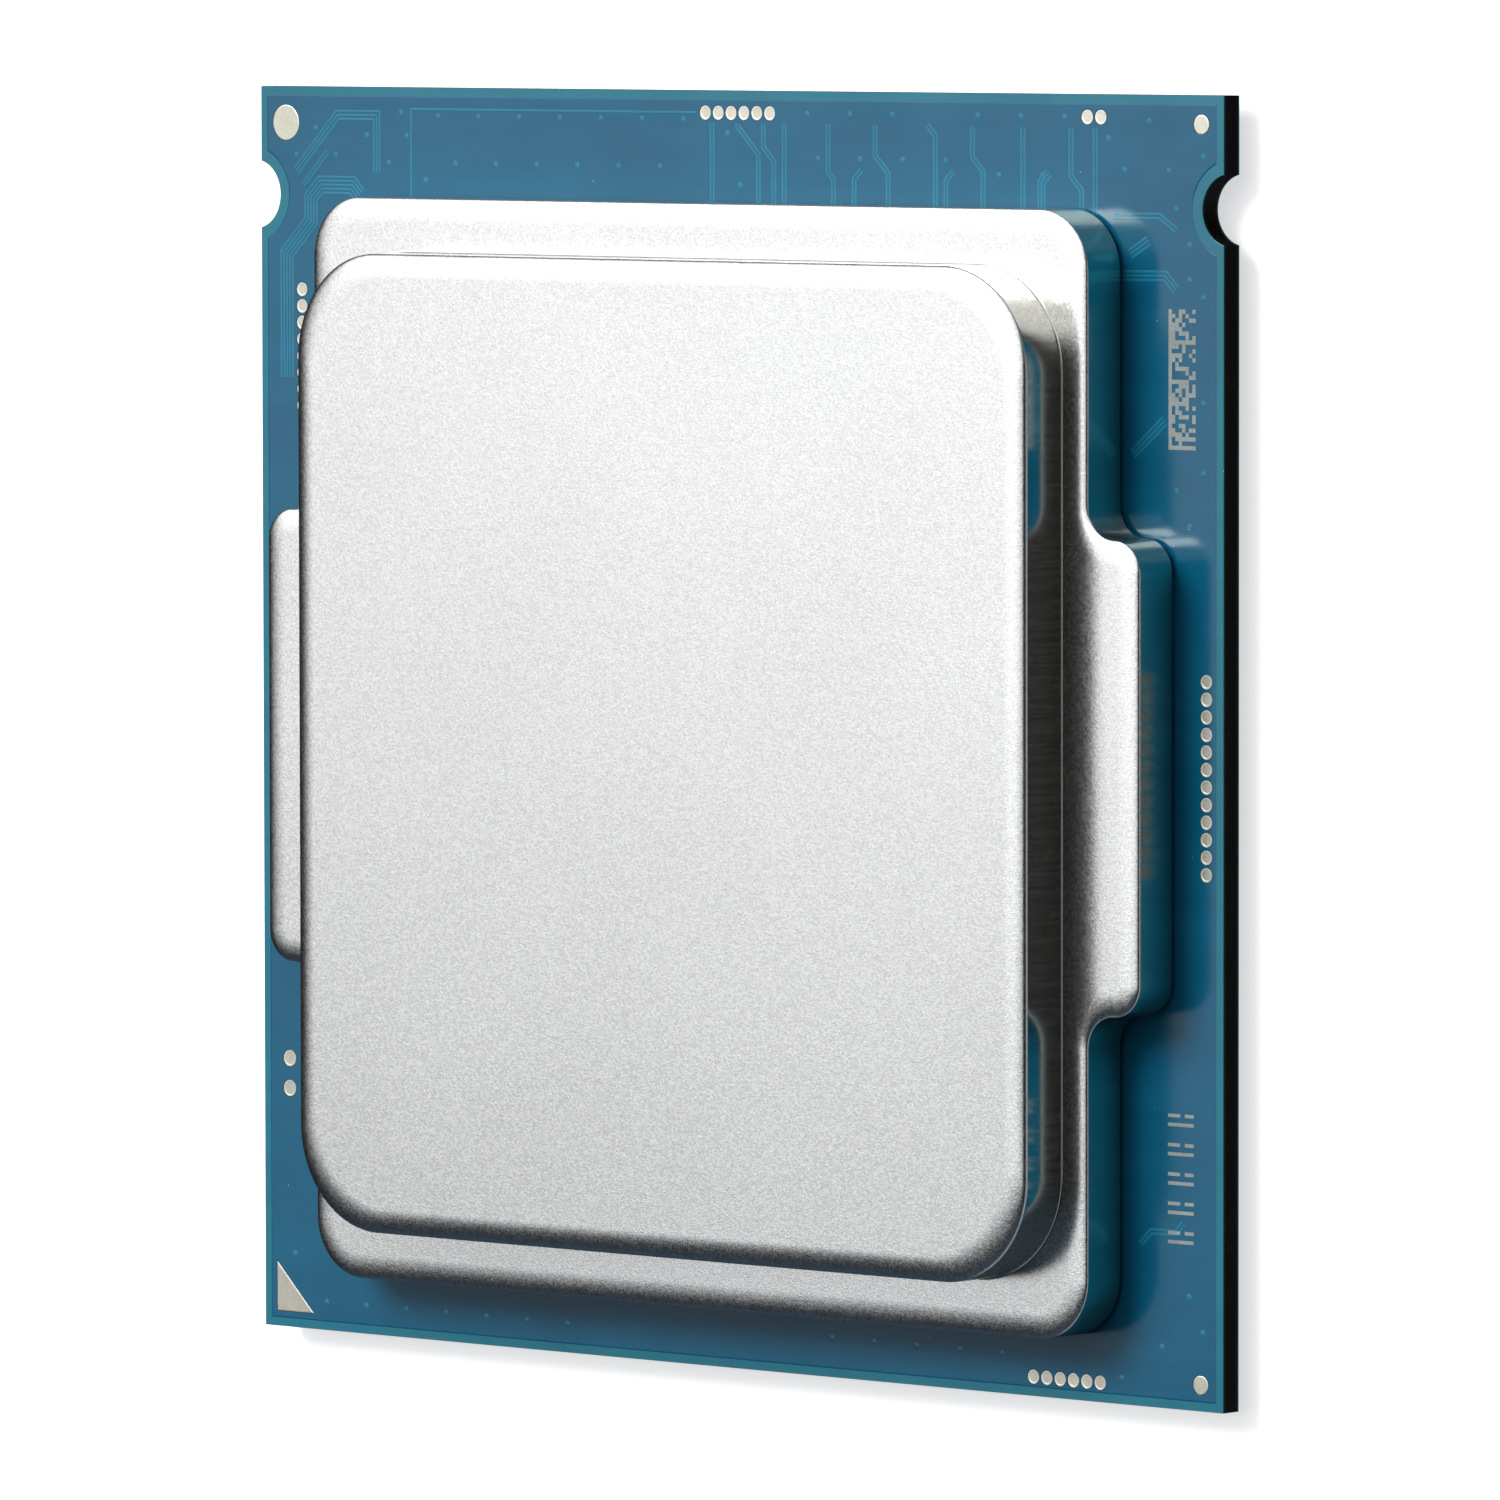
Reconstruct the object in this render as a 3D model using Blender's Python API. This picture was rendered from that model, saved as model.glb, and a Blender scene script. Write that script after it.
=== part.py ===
"""A desktop processor package: a nickel-plated lid on a thin laminate substrate.

Every separate piece of the package is one closed body with its own name.
It lies flat with the lid facing up. X runs across the two key notches, and Y
runs towards the edge that they are near. Z is up, and the origin is under the
centre of the substrate, level with the undersides of the capacitors.

Sizes are in millimetres here. to_object turns each finished mesh into metres.
"""

import math

import bmesh
import bpy
from mathutils import Matrix

METRES_PER_MM = 0.001

# Space left between pieces that touch on the real package.
GAP = 0.01

# Substrate, as seen from above.
BOARD_WIDTH = 37.5
BOARD_HALF = BOARD_WIDTH / 2
NOTCH_Y = 15.5
NOTCH_RADIUS = 1.03
NOTCH_CENTRE_OUTSIDE = 0.245
NOTCH_STEPS = 28

# Substrate layers, from the land side up.
CAPACITOR_HEIGHT = 0.50
MASK_THICKNESS = 0.02
COPPER_THICKNESS = 0.02
BUILD_UP_THICKNESS = 0.09
CORE_THICKNESS = 0.38
COPPER_INSET = 0.30
NOTCH_RING = 0.40

# Land side.
LAND_THICKNESS = 0.02
LAND_FIELD_HALF_X = 17.9
LAND_FIELD_HALF_Y = 18.2
LAND_OPENING_HALF_X = 7.3
LAND_OPENING_HALF_Y = 10.95

# Lid, measured from the top of the upper solder mask.
LID_CENTRE_Y = -0.68
FLANGE_BOTTOM = 0.14
FLANGE_TOP = 1.70
LID_TOP = 3.41
FLANGE_HALF_X = 15.07
FLANGE_HALF_Y = 16.17
FLANGE_CORNER = 1.8
WING_HALF_X = 16.99
WING_HALF_Y = 6.80
WING_CORNER = 0.95
PLATEAU_HALF_X = 14.19
PLATEAU_HALF_Y = 14.56
PLATEAU_CORNER = 3.1
PLATEAU_CORNER_CUT = 0.3
EDGE_ROUND_WIDTH = 0.50
FLANGE_ROUND_DROP = 0.10
PLATEAU_ROUND_DROP = 0.17
EDGE_ROUND_STEPS = 4
BASE_FILLET = 0.15
BASE_FILLET_STEPS = 3
CAVITY_HALF_X = 12.3
CAVITY_HALF_Y = 13.3
CAVITY_CORNER = 2.0
CAVITY_CEILING = 0.98

# Sealant bead under the lid's foot, open at one vent.
SEALANT_THICKNESS = FLANGE_BOTTOM - 2 * GAP
SEALANT_OUTER_X = 14.6
SEALANT_OUTER_Y = 15.7
SEALANT_INNER_X = 12.9
SEALANT_INNER_Y = 13.9
SEALANT_CORNER = 1.6
VENT_WIDTH = 2.0

# Chip under the lid.
DIE_SIZE_X = 9.2
DIE_SIZE_Y = 13.3
DIE_THICKNESS = 0.74
BUMP_HEIGHT = 0.07
BUMP_FIELD_INSET = 0.35
UNDERFILL_SPREAD = 0.8
UNDERFILL_HEIGHT = 0.35
INTERFACE_THICKNESS = 0.10
INTERFACE_INSET = 0.2

# Marks and test pads in openings of the upper solder mask.
PAD_RADIUS = 0.21
WIDE_PAD_RADIUS = 0.25
PAD_PITCH = 0.5
WIDE_PAD_PITCH = 0.91
PAD_RECESS = 0.004
PAD_SIDES = 14
PAD_STRIP_MARGIN = 0.05
PAD_CLEARANCE = 0.015

# Name, first pad centre, step direction, number, pitch and radius of each row.
PAD_ROWS = (
    ("test_pads_top_centre", (-0.86, 18.1), (1, 0), 6, PAD_PITCH, PAD_RADIUS),
    ("test_pads_top_right", (13.71, 18.1), (1, 0), 2, PAD_PITCH, PAD_RADIUS),
    ("test_pads_left_upper", (-17.08, 12.65), (0, -1), 8, PAD_PITCH, PAD_RADIUS),
    ("test_pads_left_lower", (-17.7, -10.59), (0, -1), 2, WIDE_PAD_PITCH, WIDE_PAD_RADIUS),
    ("test_pads_right", (18.12, 2.09), (0, -1), 12, PAD_PITCH, PAD_RADIUS),
    ("test_pads_bottom_right", (11.69, -18.19), (1, 0), 6, PAD_PITCH, PAD_RADIUS),
)

# Name, centre, radius and number of sides of each round alignment mark.
FIDUCIALS = (
    ("fiducial_top_left", (-17.72, 17.66), 0.53, 24),
    ("fiducial_top_right", (17.92, 17.92), 0.275, 18),
    ("fiducial_bottom_right", (17.92, -18.0), 0.27, 18),
)
PIN_1_CORNER = (-18.25, -18.28)
PIN_1_LEG = 1.5

# Capacitors in the middle of the land side.
CAPACITOR_LENGTH = 1.0
CAPACITOR_WIDTH = 0.5
TERMINAL_LENGTH = 0.25
CERAMIC_SHRINK = 0.015
CAPACITOR_COLUMNS = (-4.8, -1.6, 1.6, 4.8)
CAPACITOR_ROWS = 6
CAPACITOR_ROW_PITCH = 2.8

# Heights of the layers above the table, worked out from the thicknesses.
LOWER_MASK_LOW = CAPACITOR_HEIGHT + GAP
LOWER_MASK_HIGH = LOWER_MASK_LOW + MASK_THICKNESS
LOWER_COPPER_LOW = LOWER_MASK_HIGH + GAP
LOWER_COPPER_HIGH = LOWER_COPPER_LOW + COPPER_THICKNESS
LOWER_BUILD_LOW = LOWER_COPPER_HIGH + GAP
LOWER_BUILD_HIGH = LOWER_BUILD_LOW + BUILD_UP_THICKNESS
CORE_LOW = LOWER_BUILD_HIGH + GAP
CORE_HIGH = CORE_LOW + CORE_THICKNESS
UPPER_BUILD_LOW = CORE_HIGH + GAP
UPPER_BUILD_HIGH = UPPER_BUILD_LOW + BUILD_UP_THICKNESS
UPPER_COPPER_LOW = UPPER_BUILD_HIGH + GAP
UPPER_COPPER_HIGH = UPPER_COPPER_LOW + COPPER_THICKNESS
UPPER_MASK_LOW = UPPER_COPPER_HIGH + GAP
BOARD_TOP = UPPER_MASK_LOW + MASK_THICKNESS
PAD_TOP = BOARD_TOP - PAD_RECESS


def material(name, colour, roughness, metallic):
    """Return a Principled material with one colour."""
    made = bpy.data.materials.new(name)
    made.use_nodes = True
    shader = made.node_tree.nodes["Principled BSDF"]
    shader.inputs["Base Color"].default_value = (*colour, 1.0)
    shader.inputs["Roughness"].default_value = roughness
    shader.inputs["Metallic"].default_value = metallic
    made.diffuse_color = (*colour, 1.0)
    return made


def arc(centre_x, centre_y, radius, start, end, steps):
    """Points on an arc, with both ends, from start to end in degrees."""
    points = []
    for step in range(steps + 1):
        angle = math.radians(start + (end - start) * step / steps)
        points.append((centre_x + radius * math.cos(angle), centre_y + radius * math.sin(angle)))
    return points


def circle(centre, radius, sides):
    """Points of a regular polygon round a centre."""
    return arc(centre[0], centre[1], radius, 0, 360 * (sides - 1) / sides, sides - 1)


def rectangle(low_x, low_y, high_x, high_y):
    """Four corners of a rectangle, anticlockwise."""
    return [(low_x, low_y), (high_x, low_y), (high_x, high_y), (low_x, high_y)]


def four_quarters(quarter, centre_y):
    """Mirror the points of the first quarter into a whole outline."""
    backwards = quarter[::-1]
    whole = list(quarter)
    whole += [(-x, y) for x, y in backwards]
    whole += [(-x, -y) for x, y in quarter]
    whole += [(x, -y) for x, y in backwards]
    return [(x, y + centre_y) for x, y in whole]


def rounded_rectangle(half_x, half_y, corner, centre_y=0.0, steps=7):
    """Outline of a rectangle with round corners."""
    quarter = arc(half_x - corner, half_y - corner, corner, 0, 90, steps)
    return four_quarters(quarter, centre_y)


def board_outline(inset=0.0, ring=0.0):
    """Outline of the substrate, with half-round key notches on both sides."""
    half = BOARD_HALF - inset
    centre_x = BOARD_HALF + NOTCH_CENTRE_OUTSIDE
    radius = NOTCH_RADIUS + ring
    half_angle = math.degrees(math.acos((centre_x - half) / radius))
    right = arc(centre_x, NOTCH_Y, radius, 180 + half_angle, 180 - half_angle, NOTCH_STEPS)
    left = [(-x, y) for x, y in reversed(right)]
    return [(-half, -half), (half, -half), *right, (half, half), (-half, half), *left]


def flange_outline(inset=0.0):
    """Outline of the lid's flange, with a wing on each side."""
    quarter = arc(
        WING_HALF_X - WING_CORNER, WING_HALF_Y - WING_CORNER, WING_CORNER - inset, 0, 90, 5
    )
    quarter += arc(
        FLANGE_HALF_X + WING_CORNER, WING_HALF_Y + WING_CORNER, WING_CORNER + inset, 270, 180, 5
    )
    quarter += arc(
        FLANGE_HALF_X - FLANGE_CORNER, FLANGE_HALF_Y - FLANGE_CORNER, FLANGE_CORNER - inset, 0, 90, 6
    )
    return four_quarters(quarter, LID_CENTRE_Y)


def plateau_outline(inset=0.0):
    """Outline of the lid's raised middle. A negative inset is wider."""
    return rounded_rectangle(
        PLATEAU_HALF_X - inset,
        PLATEAU_HALF_Y - inset,
        PLATEAU_CORNER - PLATEAU_CORNER_CUT * inset,
        LID_CENTRE_Y,
    )


def die_rectangle(spread):
    """Outline round the chip, wider than it by the spread on each side."""
    half_x = DIE_SIZE_X / 2 + spread
    half_y = DIE_SIZE_Y / 2 + spread
    return rectangle(-half_x, LID_CENTRE_Y - half_y, half_x, LID_CENTRE_Y + half_y)


def add_loop(bm, outline, height):
    """Add a closed ring of edges at one height and return its vertices."""
    vertices = [bm.verts.new((x, y, height)) for x, y in outline]
    for first, second in zip(vertices, vertices[1:] + vertices[:1]):
        bm.edges.new((first, second))
    return vertices


def add_wall(bm, lower, upper):
    """Join two rings that have the same number of vertices."""
    count = len(lower)
    for index in range(count):
        following = (index + 1) % count
        bm.faces.new((lower[index], lower[following], upper[following], upper[index]))


def add_flat(bm, loops):
    """Fill the flat area inside the first ring and outside the others."""
    edges = []
    for loop in loops:
        for first, second in zip(loop, loop[1:] + loop[:1]):
            edges.append(bm.edges.get((first, second)))
    bmesh.ops.triangle_fill(bm, edges=edges, use_beauty=True)


def to_object(bm, name, surface, smooth_angle=None):
    """Turn a mesh in millimetres into an object in metres."""
    bmesh.ops.recalc_face_normals(bm, faces=bm.faces[:])
    bm.transform(Matrix.Scale(METRES_PER_MM, 4))
    mesh = bpy.data.meshes.new(name)
    bm.to_mesh(mesh)
    bm.free()
    mesh.materials.append(surface)
    if smooth_angle is not None:
        mesh.shade_smooth()
        mesh.set_sharp_from_angle(angle=math.radians(smooth_angle))
    made = bpy.data.objects.new(name, mesh)
    bpy.context.scene.collection.objects.link(made)
    return made


def plate(name, outline, holes, low, high, surface, smooth_angle=None):
    """A flat plate with holes through it."""
    bm = bmesh.new()
    lower = [add_loop(bm, points, low) for points in (outline, *holes)]
    upper = [add_loop(bm, points, high) for points in (outline, *holes)]
    add_flat(bm, lower)
    add_flat(bm, upper)
    for below, above in zip(lower, upper):
        add_wall(bm, below, above)
    return to_object(bm, name, surface, smooth_angle)


def covering(name, holes, outer_face, inner_face, rim_face, surface):
    """A solder mask: a sheet with a rim that wraps the copper's edge."""
    bm = bmesh.new()
    outer_edge = add_loop(bm, board_outline(), outer_face)
    rim_edge = add_loop(bm, board_outline(), rim_face)
    recess = board_outline(COPPER_INSET - GAP, NOTCH_RING - GAP)
    recess_mouth = add_loop(bm, recess, rim_face)
    recess_floor = add_loop(bm, recess, inner_face)
    holes_outside = [add_loop(bm, points, outer_face) for points in holes]
    holes_inside = [add_loop(bm, points, inner_face) for points in holes]
    add_flat(bm, [outer_edge, *holes_outside])
    add_flat(bm, [rim_edge, recess_mouth])
    add_flat(bm, [recess_floor, *holes_inside])
    add_wall(bm, rim_edge, outer_edge)
    add_wall(bm, recess_mouth, recess_floor)
    for inside, outside in zip(holes_inside, holes_outside):
        add_wall(bm, inside, outside)
    return to_object(bm, name, surface)


def row_centres(first, direction, count, pitch):
    """Centres of the pads in one row."""
    return [
        (first[0] + direction[0] * pitch * step, first[1] + direction[1] * pitch * step)
        for step in range(count)
    ]


def row_strip(centres, reach):
    """Rectangle round the pad centres of a row."""
    xs = [x for x, _ in centres]
    ys = [y for _, y in centres]
    return rectangle(min(xs) - reach, min(ys) - reach, max(xs) + reach, max(ys) + reach)


def pad_row(name, centres, radius, surface):
    """A row of round pads that stand on one strip of copper."""
    bm = bmesh.new()
    strip = row_strip(centres, radius + PAD_STRIP_MARGIN)
    strip_low = add_loop(bm, strip, UPPER_COPPER_LOW)
    strip_high = add_loop(bm, strip, UPPER_COPPER_HIGH)
    rounds = [circle(centre, radius, PAD_SIDES) for centre in centres]
    feet = [add_loop(bm, points, UPPER_COPPER_HIGH) for points in rounds]
    tops = [add_loop(bm, points, PAD_TOP) for points in rounds]
    add_flat(bm, [strip_low])
    add_wall(bm, strip_low, strip_high)
    add_flat(bm, [strip_high, *feet])
    for foot, top in zip(feet, tops):
        add_wall(bm, foot, top)
        add_flat(bm, [top])
    return to_object(bm, name, surface)


def triangle_mark(spread):
    """Outline of the pin 1 triangle, wider by the spread on every side."""
    corner_x = PIN_1_CORNER[0] - spread
    corner_y = PIN_1_CORNER[1] - spread
    leg = PIN_1_LEG + spread * (2 + math.sqrt(2))
    return [(corner_x, corner_y), (corner_x + leg, corner_y), (corner_x, corner_y + leg)]


def edge_round_profile(top, drop):
    """Inset and height of each ring round a rounded top edge, from the wall up."""
    profile = []
    for step in range(EDGE_ROUND_STEPS + 1):
        angle = math.pi / 2 * step / EDGE_ROUND_STEPS
        inset = EDGE_ROUND_WIDTH * (1 - math.cos(angle))
        height = top - drop * (1 - math.sin(angle))
        profile.append((inset, height))
    return profile


def base_fillet_profile():
    """Inset and height of each ring of the fillet at the plateau's foot."""
    profile = []
    for step in range(BASE_FILLET_STEPS + 1):
        angle = math.pi / 2 * step / BASE_FILLET_STEPS
        inset = -BASE_FILLET * (1 - math.sin(angle))
        height = FLANGE_TOP + BASE_FILLET * (1 - math.cos(angle))
        profile.append((inset, height))
    return profile


def heat_spreader(surface):
    """The stamped lid: foot, wings, plateau and the cavity over the chip."""
    bm = bmesh.new()
    foot = add_loop(bm, flange_outline(), BOARD_TOP + FLANGE_BOTTOM)
    below = foot
    for inset, height in edge_round_profile(FLANGE_TOP, FLANGE_ROUND_DROP):
        ring = add_loop(bm, flange_outline(inset), BOARD_TOP + height)
        add_wall(bm, below, ring)
        below = ring
    flange_rim = below

    plateau_profile = base_fillet_profile() + edge_round_profile(LID_TOP, PLATEAU_ROUND_DROP)
    first_inset, first_height = plateau_profile[0]
    plateau_foot = add_loop(bm, plateau_outline(first_inset), BOARD_TOP + first_height)
    add_flat(bm, [flange_rim, plateau_foot])
    below = plateau_foot
    for inset, height in plateau_profile[1:]:
        ring = add_loop(bm, plateau_outline(inset), BOARD_TOP + height)
        add_wall(bm, below, ring)
        below = ring
    add_flat(bm, [below])

    cavity = rounded_rectangle(CAVITY_HALF_X, CAVITY_HALF_Y, CAVITY_CORNER, LID_CENTRE_Y)
    mouth = add_loop(bm, cavity, BOARD_TOP + FLANGE_BOTTOM)
    ceiling = add_loop(bm, cavity, BOARD_TOP + CAVITY_CEILING)
    add_flat(bm, [foot, mouth])
    add_wall(bm, mouth, ceiling)
    add_flat(bm, [ceiling])
    return to_object(bm, "heat_spreader", surface, smooth_angle=35)


def lid_sealant(surface):
    """The bead that glues the lid down, with a vent gap at the front."""
    outer = rounded_rectangle(SEALANT_OUTER_X, SEALANT_OUTER_Y, SEALANT_CORNER)
    inner = rounded_rectangle(SEALANT_INNER_X, SEALANT_INNER_Y, SEALANT_CORNER)
    steps_to_front = len(outer) * 3 // 4
    outer = outer[steps_to_front:] + outer[:steps_to_front]
    inner = inner[steps_to_front:] + inner[:steps_to_front]
    half_vent = VENT_WIDTH / 2
    path = [(half_vent, -SEALANT_OUTER_Y), *outer, (-half_vent, -SEALANT_OUTER_Y)]
    path += [(-half_vent, -SEALANT_INNER_Y), *inner[::-1], (half_vent, -SEALANT_INNER_Y)]
    path = [(x, y + LID_CENTRE_Y) for x, y in path]
    low = BOARD_TOP + GAP
    return plate("lid_sealant", path, [], low, low + SEALANT_THICKNESS, surface)


def die_underfill(surface):
    """Resin that fills round the bumps and climbs the sides of the chip."""
    bm = bmesh.new()
    low = BOARD_TOP + GAP
    base = add_loop(bm, die_rectangle(UNDERFILL_SPREAD), low)
    crest = add_loop(bm, die_rectangle(2 * GAP + 0.03), low + UNDERFILL_HEIGHT)
    chip_top = add_loop(bm, die_rectangle(GAP), low + UNDERFILL_HEIGHT)
    chip_base = add_loop(bm, die_rectangle(GAP), low)
    add_wall(bm, base, crest)
    add_wall(bm, crest, chip_top)
    add_wall(bm, chip_top, chip_base)
    add_flat(bm, [base, chip_base])
    return to_object(bm, "die_underfill", surface)


def chip(silicon, solder, resin, interface):
    """The chip, its bumps, its underfill and the layer between it and the lid."""
    bump_low = BOARD_TOP + GAP
    bump_high = bump_low + BUMP_HEIGHT
    die_low = bump_high + GAP
    die_high = die_low + DIE_THICKNESS
    interface_low = die_high + GAP
    plate("die_bump_array", die_rectangle(-BUMP_FIELD_INSET), [], bump_low, bump_high, solder)
    plate("silicon_die", die_rectangle(0), [], die_low, die_high, silicon)
    die_underfill(resin)
    plate(
        "thermal_interface_layer",
        die_rectangle(-INTERFACE_INSET),
        [],
        interface_low,
        BOARD_TOP + CAVITY_CEILING - GAP,
        interface,
    )


def substrate(core, build_up, copper, mask, rows):
    """The laminate: core, two build-up layers, two copper layers, two masks."""
    plate("substrate_core", board_outline(), [], CORE_LOW, CORE_HIGH, core)
    plate("top_build_up", board_outline(), [], UPPER_BUILD_LOW, UPPER_BUILD_HIGH, build_up)
    plate("bottom_build_up", board_outline(), [], LOWER_BUILD_LOW, LOWER_BUILD_HIGH, build_up)

    plane = board_outline(COPPER_INSET, NOTCH_RING)
    clearances = []
    openings = []
    for centres, radius in rows:
        clearances.append(row_strip(centres, radius + PAD_STRIP_MARGIN + PAD_CLEARANCE))
        openings += [circle(centre, radius + PAD_CLEARANCE, PAD_SIDES) for centre in centres]
    for _, centre, radius, sides in FIDUCIALS:
        clearances.append(circle(centre, radius + PAD_CLEARANCE, sides))
        openings.append(circle(centre, radius + PAD_CLEARANCE, sides))
    clearances.append(triangle_mark(PAD_CLEARANCE))
    openings.append(triangle_mark(PAD_CLEARANCE))

    plate("top_copper_layer", plane, clearances, UPPER_COPPER_LOW, UPPER_COPPER_HIGH, copper)
    plate("bottom_copper_layer", plane, [], LOWER_COPPER_LOW, LOWER_COPPER_HIGH, copper)
    covering("top_solder_mask", openings, BOARD_TOP, UPPER_MASK_LOW, UPPER_COPPER_LOW, mask)
    covering("bottom_solder_mask", [], LOWER_MASK_LOW, LOWER_MASK_HIGH, LOWER_COPPER_HIGH, mask)


def marks(gold, rows):
    """Test pads, alignment marks and the pin 1 triangle."""
    for (name, *_), (centres, radius) in zip(PAD_ROWS, rows):
        pad_row(name, centres, radius, gold)
    for name, centre, radius, sides in FIDUCIALS:
        plate(name, circle(centre, radius, sides), [], UPPER_COPPER_LOW, PAD_TOP, gold)
    plate("pin_1_marker", triangle_mark(0), [], UPPER_COPPER_LOW, PAD_TOP, gold)


def land_field(gold):
    """The field of contact lands, kept as one thin plate round the capacitors."""
    high = LOWER_MASK_LOW - GAP
    outside = rectangle(
        -LAND_FIELD_HALF_X, -LAND_FIELD_HALF_Y, LAND_FIELD_HALF_X, LAND_FIELD_HALF_Y
    )
    inside = rectangle(
        -LAND_OPENING_HALF_X, -LAND_OPENING_HALF_Y, LAND_OPENING_HALF_X, LAND_OPENING_HALF_Y
    )
    plate("land_field", outside, [inside], high - LAND_THICKNESS, high, gold)


def capacitor_outline(centre_x, centre_y):
    """A chip capacitor from above: two terminals and a slimmer middle."""
    half_length = CAPACITOR_LENGTH / 2
    half_width = CAPACITOR_WIDTH / 2
    waist = half_width - CERAMIC_SHRINK
    neck = half_length - TERMINAL_LENGTH
    quarter = [(waist, neck), (half_width, neck), (half_width, half_length)]
    return [(x + centre_x, y) for x, y in four_quarters(quarter, centre_y)]


def capacitors(surface):
    """Capacitors in columns on the land side. The package rests on them."""
    number = 0
    for x in CAPACITOR_COLUMNS:
        for row in range(CAPACITOR_ROWS):
            number += 1
            y = (row - (CAPACITOR_ROWS - 1) / 2) * CAPACITOR_ROW_PITCH
            name = f"capacitor_{number:02d}"
            plate(name, capacitor_outline(x, y), [], 0.0, CAPACITOR_HEIGHT, surface)


def build():
    """Clear the scene and make every piece."""
    for old in list(bpy.data.objects):
        bpy.data.objects.remove(old, do_unlink=True)
    nickel = material("nickel_plate", (0.78, 0.77, 0.75), 0.32, 1.0)
    mask = material("solder_mask", (0.02, 0.17, 0.28), 0.25, 0.0)
    core = material("laminate_core", (0.09, 0.07, 0.05), 0.55, 0.0)
    build_up = material("build_up_resin", (0.05, 0.05, 0.05), 0.5, 0.0)
    copper = material("copper_plane", (0.85, 0.45, 0.3), 0.35, 1.0)
    gold = material("gold_plate", (0.86, 0.72, 0.45), 0.3, 1.0)
    silicon = material("silicon", (0.2, 0.21, 0.24), 0.15, 0.6)
    solder = material("bump_solder", (0.6, 0.6, 0.62), 0.4, 1.0)
    resin = material("underfill_resin", (0.12, 0.1, 0.08), 0.4, 0.0)
    paste = material("thermal_interface", (0.55, 0.56, 0.58), 0.6, 0.3)
    sealant = material("silicone_sealant", (0.02, 0.02, 0.02), 0.5, 0.0)
    ceramic = material("capacitor_ceramic", (0.45, 0.34, 0.25), 0.5, 0.0)

    rows = [
        (row_centres(first, direction, count, pitch), radius)
        for _, first, direction, count, pitch, radius in PAD_ROWS
    ]
    substrate(core, build_up, copper, mask, rows)
    marks(gold, rows)
    land_field(gold)
    capacitors(ceramic)
    chip(silicon, solder, resin, paste)
    lid_sealant(sealant)
    heat_spreader(nickel)


build()
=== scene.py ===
"""Looks for a processor package: surface finishes, fine detail, floor, light and camera.

The frame gives the CAD pieces. The lid, the upper solder mask, the gold marks, the
lands and the capacitors are made again here with finer meshes. The other CAD pieces
stay and get procedural finishes. Lengths in the constants are millimetres.
"""

import math
import random

import bmesh
import bpy
from mathutils import Matrix, Vector


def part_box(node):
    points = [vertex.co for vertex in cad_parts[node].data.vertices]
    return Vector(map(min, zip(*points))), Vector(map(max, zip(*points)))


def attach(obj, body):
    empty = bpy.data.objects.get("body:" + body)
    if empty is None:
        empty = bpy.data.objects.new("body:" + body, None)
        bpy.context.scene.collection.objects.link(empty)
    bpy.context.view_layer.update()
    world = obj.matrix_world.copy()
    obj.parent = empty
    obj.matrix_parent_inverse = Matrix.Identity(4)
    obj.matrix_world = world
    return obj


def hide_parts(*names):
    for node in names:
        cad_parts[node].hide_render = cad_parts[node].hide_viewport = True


MM = 0.001
ROOT = "root"

# Substrate.
BOARD_HALF = 18.75
NOTCH_Y = 15.5
NOTCH_RADIUS = 1.03
NOTCH_CENTRE_OUTSIDE = 0.245
NOTCH_STEPS = 40
COPPER_INSET = 0.30
NOTCH_RING = 0.40
BORDER_SLOPE = 0.04
BORDER_DROP = 0.008
BORDER_BANDS = 4
MASK_EDGE_ROUND = 0.012

# Lid, measured from the top of the solder mask.
LID_CENTRE_Y = -0.68
FLANGE_BOTTOM = 0.14
FLANGE_TOP = 1.70
LID_TOP = 3.41
FLANGE_HALF_X = 15.07
FLANGE_HALF_Y = 16.17
FLANGE_CORNER = 1.8
WING_HALF_X = 16.99
WING_HALF_Y = 6.80
WING_CORNER = 0.95
PLATEAU_HALF_X = 14.19
PLATEAU_HALF_Y = 14.56
PLATEAU_CORNER = 3.1
PLATEAU_CORNER_CUT = 0.3
EDGE_ROUND_WIDTH = 0.72
EDGE_LIP = 0.03
FLANGE_ROUND_DROP = 0.10
PLATEAU_ROUND_DROP = 0.17
BASE_FILLET = 0.04
FOOT_ROUND = 0.02
SETTLE = 0.03
CAVITY_HALF_X = 12.3
CAVITY_HALF_Y = 13.3
CAVITY_CORNER = 2.0
CAVITY_CEILING = 0.98
LID_CORNER_STEPS = 22
ROUND_STEPS = 18
FILLET_STEPS = 8

# Material slots of the lid.
BLASTED = 0
DRAWN = 1
CUT = 2

# Round pads.
PAD_ROWS = {
    "test_pads_top_centre": (0.21, 0.5),
    "test_pads_top_right": (0.21, 0.5),
    "test_pads_left_upper": (0.21, 0.5),
    "test_pads_left_lower": (0.25, 0.91),
    "test_pads_right": (0.21, 0.5),
    "test_pads_bottom_right": (0.21, 0.5),
}
PAD_STRIP_MARGIN = 0.05
PAD_SIDES = 36
PAD_RIM = 0.055
FIDUCIALS = ("fiducial_top_left", "fiducial_top_right", "fiducial_bottom_right")
FIDUCIAL_SIDES = 64
OPENING_CLEARANCE = 0.015

# Camera, for a 36 mm sensor.
SENSOR_WIDTH = 36.0
LENS = 323.65
CAMERA_PLACE = (261.108, 23.941, 296.995)
CAMERA_YAW = 41.3445
CAMERA_PITCH = 3.5533
CAMERA_ROLL = 0.0891


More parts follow.
